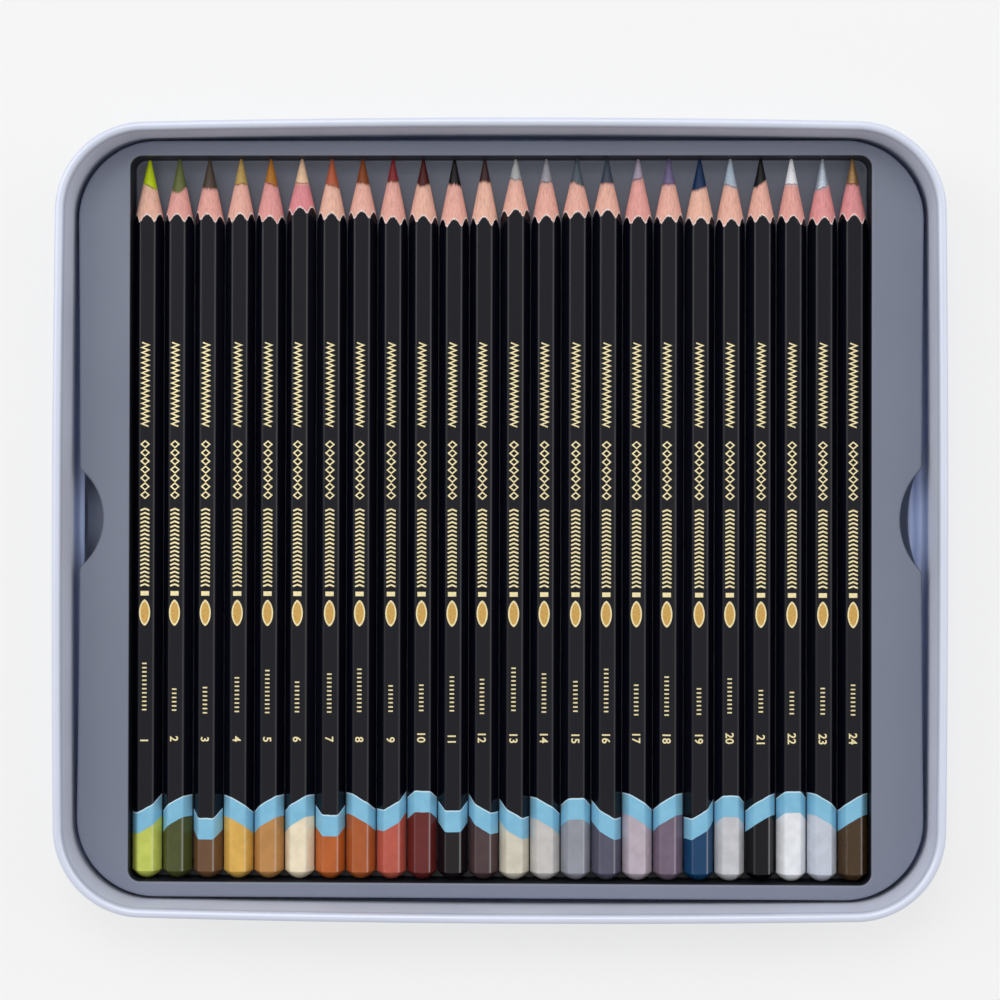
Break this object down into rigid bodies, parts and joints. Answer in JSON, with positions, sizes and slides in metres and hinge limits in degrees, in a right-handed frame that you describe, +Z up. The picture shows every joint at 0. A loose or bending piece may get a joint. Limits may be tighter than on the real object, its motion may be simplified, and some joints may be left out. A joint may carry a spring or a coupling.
{
  "type": "colored pencil tin",
  "caption": "Shallow rectangular tin with a curled rim, a formed tray with finger scoops, and a row of sharpened hexagonal colored pencils.",
  "frame": {"origin": "middle of the tin's flat underside", "axes": "+Z up out of the open tin, +Y the way the pencils point, +X across the row of pencils to the right"},
  "size_m": [0.2136, 0.192, 0.019],
  "materials": {
    "tinplate": "bright tinplate, smooth, with a rolled rim",
    "tray_plastic": "satin formed sheet, grey",
    "pencil_lacquer": "satin black lacquer over cedar, with a blue band and a colored dip",
    "core_lime": "waxy colored core",
    "core_olive": "waxy colored core",
    "core_mocha": "waxy colored core",
    "core_dijon": "waxy colored core",
    "core_tan": "waxy colored core",
    "core_peach": "waxy colored core",
    "core_rust": "waxy colored core",
    "core_nutmeg": "waxy colored core",
    "core_brick": "waxy colored core",
    "core_maroon": "waxy colored core",
    "core_coffee": "waxy colored core",
    "core_umber": "waxy colored core",
    "core_mist": "waxy colored core",
    "core_pebble": "waxy colored core",
    "core_slate": "waxy colored core",
    "core_carbon": "waxy colored core",
    "core_heather": "waxy colored core",
    "core_plum": "waxy colored core",
    "core_navy": "waxy colored core",
    "core_pale_grey": "waxy colored core",
    "core_black": "waxy colored core",
    "core_white": "waxy colored core",
    "core_silver": "waxy colored core",
    "core_bronze": "waxy colored core"
  },
  "bodies": {
    "tin": {"tin_base": "tinplate"},
    "tray": {"tray": "tray_plastic"},
    "pencil_01": {"pencil_01_casing": "pencil_lacquer", "pencil_01_lead": "core_lime"},
    "pencil_02": {"pencil_02_casing": "pencil_lacquer", "pencil_02_lead": "core_olive"},
    "pencil_03": {"pencil_03_casing": "pencil_lacquer", "pencil_03_lead": "core_mocha"},
    "pencil_04": {"pencil_04_casing": "pencil_lacquer", "pencil_04_lead": "core_dijon"},
    "pencil_05": {"pencil_05_casing": "pencil_lacquer", "pencil_05_lead": "core_tan"},
    "pencil_06": {"pencil_06_casing": "pencil_lacquer", "pencil_06_lead": "core_peach"},
    "pencil_07": {"pencil_07_casing": "pencil_lacquer", "pencil_07_lead": "core_rust"},
    "pencil_08": {"pencil_08_casing": "pencil_lacquer", "pencil_08_lead": "core_nutmeg"},
    "pencil_09": {"pencil_09_casing": "pencil_lacquer", "pencil_09_lead": "core_brick"},
    "pencil_10": {"pencil_10_casing": "pencil_lacquer", "pencil_10_lead": "core_maroon"},
    "pencil_11": {"pencil_11_casing": "pencil_lacquer", "pencil_11_lead": "core_coffee"},
    "pencil_12": {"pencil_12_casing": "pencil_lacquer", "pencil_12_lead": "core_umber"},
    "pencil_13": {"pencil_13_casing": "pencil_lacquer", "pencil_13_lead": "core_mist"},
    "pencil_14": {"pencil_14_casing": "pencil_lacquer", "pencil_14_lead": "core_pebble"},
    "pencil_15": {"pencil_15_casing": "pencil_lacquer", "pencil_15_lead": "core_slate"},
    "pencil_16": {"pencil_16_casing": "pencil_lacquer", "pencil_16_lead": "core_carbon"},
    "pencil_17": {"pencil_17_casing": "pencil_lacquer", "pencil_17_lead": "core_heather"},
    "pencil_18": {"pencil_18_casing": "pencil_lacquer", "pencil_18_lead": "core_plum"},
    "pencil_19": {"pencil_19_casing": "pencil_lacquer", "pencil_19_lead": "core_navy"},
    "pencil_20": {"pencil_20_casing": "pencil_lacquer", "pencil_20_lead": "core_pale_grey"},
    "pencil_21": {"pencil_21_casing": "pencil_lacquer", "pencil_21_lead": "core_black"},
    "pencil_22": {"pencil_22_casing": "pencil_lacquer", "pencil_22_lead": "core_white"},
    "pencil_23": {"pencil_23_casing": "pencil_lacquer", "pencil_23_lead": "core_silver"},
    "pencil_24": {"pencil_24_casing": "pencil_lacquer", "pencil_24_lead": "core_bronze"}
  },
  "joints": [
    {"name": "tray_lift", "type": "slide", "parent": "tin", "child": "tray", "axis": [0, 0, 1], "range_m": [0, 0.03]},
    {"name": "pencil_01_lift", "type": "slide", "parent": "tray", "child": "pencil_01", "axis": [0, 0, 1], "range_m": [0, 0.025]},
    {"name": "pencil_02_lift", "type": "slide", "parent": "tray", "child": "pencil_02", "axis": [0, 0, 1], "range_m": [0, 0.025]},
    {"name": "pencil_03_lift", "type": "slide", "parent": "tray", "child": "pencil_03", "axis": [0, 0, 1], "range_m": [0, 0.025]},
    {"name": "pencil_04_lift", "type": "slide", "parent": "tray", "child": "pencil_04", "axis": [0, 0, 1], "range_m": [0, 0.025]},
    {"name": "pencil_05_lift", "type": "slide", "parent": "tray", "child": "pencil_05", "axis": [0, 0, 1], "range_m": [0, 0.025]},
    {"name": "pencil_06_lift", "type": "slide", "parent": "tray", "child": "pencil_06", "axis": [0, 0, 1], "range_m": [0, 0.025]},
    {"name": "pencil_07_lift", "type": "slide", "parent": "tray", "child": "pencil_07", "axis": [0, 0, 1], "range_m": [0, 0.025]},
    {"name": "pencil_08_lift", "type": "slide", "parent": "tray", "child": "pencil_08", "axis": [0, 0, 1], "range_m": [0, 0.025]},
    {"name": "pencil_09_lift", "type": "slide", "parent": "tray", "child": "pencil_09", "axis": [0, 0, 1], "range_m": [0, 0.025]},
    {"name": "pencil_10_lift", "type": "slide", "parent": "tray", "child": "pencil_10", "axis": [0, 0, 1], "range_m": [0, 0.025]},
    {"name": "pencil_11_lift", "type": "slide", "parent": "tray", "child": "pencil_11", "axis": [0, 0, 1], "range_m": [0, 0.025]},
    {"name": "pencil_12_lift", "type": "slide", "parent": "tray", "child": "pencil_12", "axis": [0, 0, 1], "range_m": [0, 0.025]},
    {"name": "pencil_13_lift", "type": "slide", "parent": "tray", "child": "pencil_13", "axis": [0, 0, 1], "range_m": [0, 0.025]},
    {"name": "pencil_14_lift", "type": "slide", "parent": "tray", "child": "pencil_14", "axis": [0, 0, 1], "range_m": [0, 0.025]},
    {"name": "pencil_15_lift", "type": "slide", "parent": "tray", "child": "pencil_15", "axis": [0, 0, 1], "range_m": [0, 0.025]},
    {"name": "pencil_16_lift", "type": "slide", "parent": "tray", "child": "pencil_16", "axis": [0, 0, 1], "range_m": [0, 0.025]},
    {"name": "pencil_17_lift", "type": "slide", "parent": "tray", "child": "pencil_17", "axis": [0, 0, 1], "range_m": [0, 0.025]},
    {"name": "pencil_18_lift", "type": "slide", "parent": "tray", "child": "pencil_18", "axis": [0, 0, 1], "range_m": [0, 0.025]},
    {"name": "pencil_19_lift", "type": "slide", "parent": "tray", "child": "pencil_19", "axis": [0, 0, 1], "range_m": [0, 0.025]},
    {"name": "pencil_20_lift", "type": "slide", "parent": "tray", "child": "pencil_20", "axis": [0, 0, 1], "range_m": [0, 0.025]},
    {"name": "pencil_21_lift", "type": "slide", "parent": "tray", "child": "pencil_21", "axis": [0, 0, 1], "range_m": [0, 0.025]},
    {"name": "pencil_22_lift", "type": "slide", "parent": "tray", "child": "pencil_22", "axis": [0, 0, 1], "range_m": [0, 0.025]},
    {"name": "pencil_23_lift", "type": "slide", "parent": "tray", "child": "pencil_23", "axis": [0, 0, 1], "range_m": [0, 0.025]},
    {"name": "pencil_24_lift", "type": "slide", "parent": "tray", "child": "pencil_24", "axis": [0, 0, 1], "range_m": [0, 0.025]}
  ]
}
